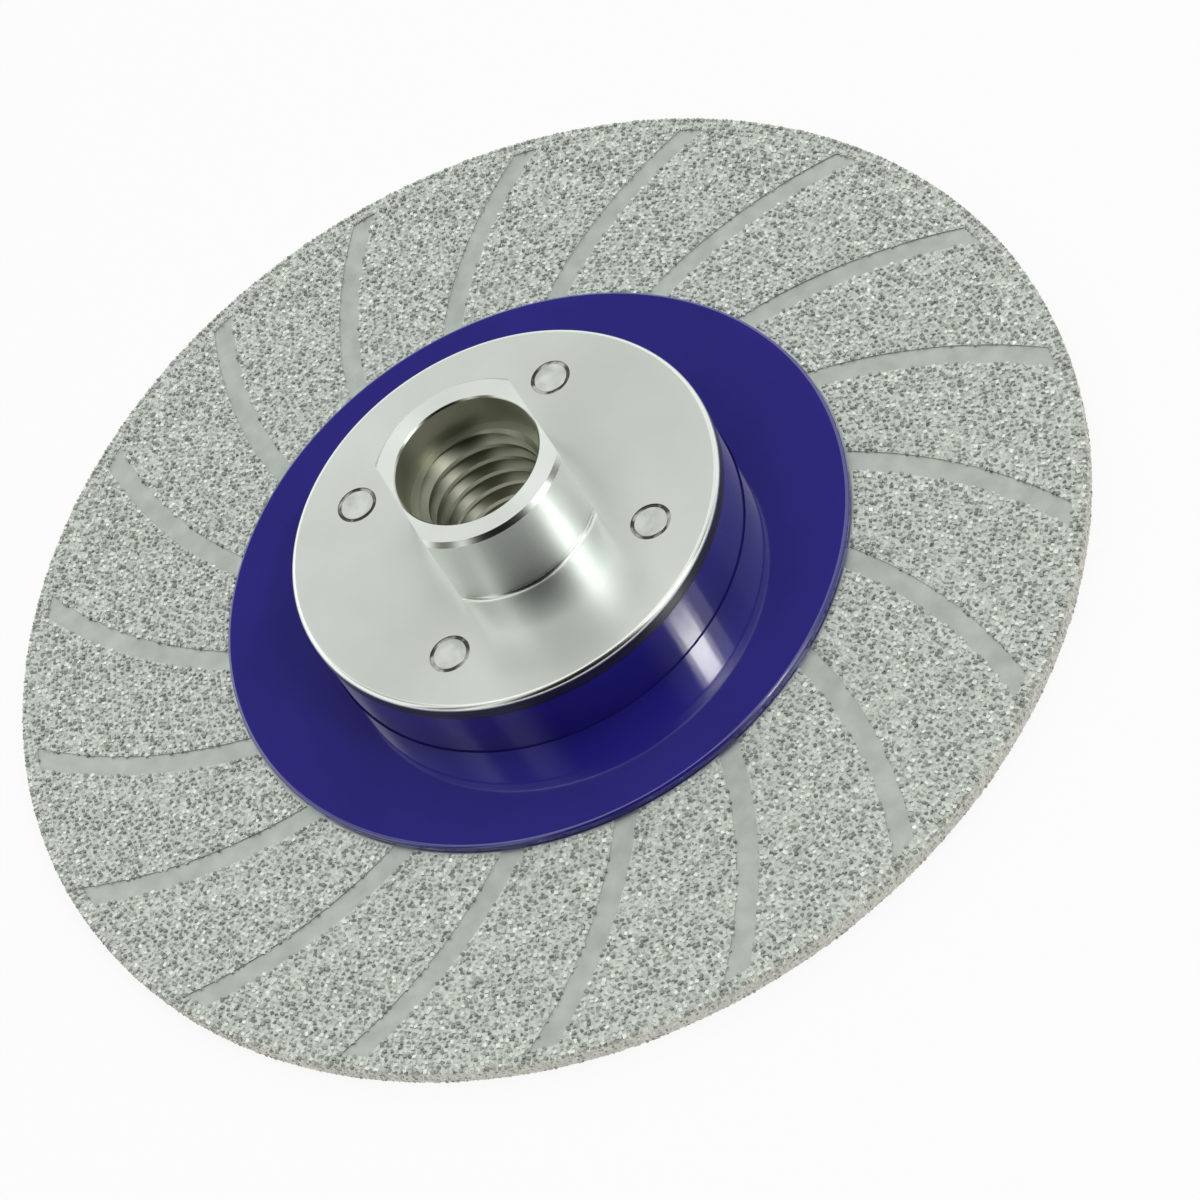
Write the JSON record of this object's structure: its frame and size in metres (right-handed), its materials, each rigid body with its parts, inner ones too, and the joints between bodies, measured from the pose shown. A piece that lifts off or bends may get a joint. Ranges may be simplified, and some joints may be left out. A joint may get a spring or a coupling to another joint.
{
  "type": "double-sided diamond disc",
  "caption": "Flat grinder disc with diamond grit on both faces, curved bare lanes, a blue hat spacer and a riveted threaded steel flange.",
  "frame": {"origin": "on the disc's axis at the back grinding face, on which the disc rests", "axes": "+Z along the spindle axis towards the hub; the two spanner flats face +X and -X"},
  "size_m": [0.125, 0.125, 0.0218],
  "materials": {
    "blank_steel": "plated smooth steel, satin",
    "diamond_grit": "nickel plating holding coarse diamond grit, sparkling and rough",
    "blue_plastic": "deep blue moulded plastic, glossy",
    "turned_steel": "fine turned steel, bright",
    "rivet_steel": "steel ground flush"
  },
  "bodies": {
    "root": {"disc_blank": "blank_steel", "diamond_coat": "diamond_grit", "spacer": "blue_plastic", "threaded_flange": "turned_steel", "rivet_1": "rivet_steel", "rivet_2": "rivet_steel", "rivet_3": "rivet_steel", "rivet_4": "rivet_steel"}
  },
  "joints": []
}
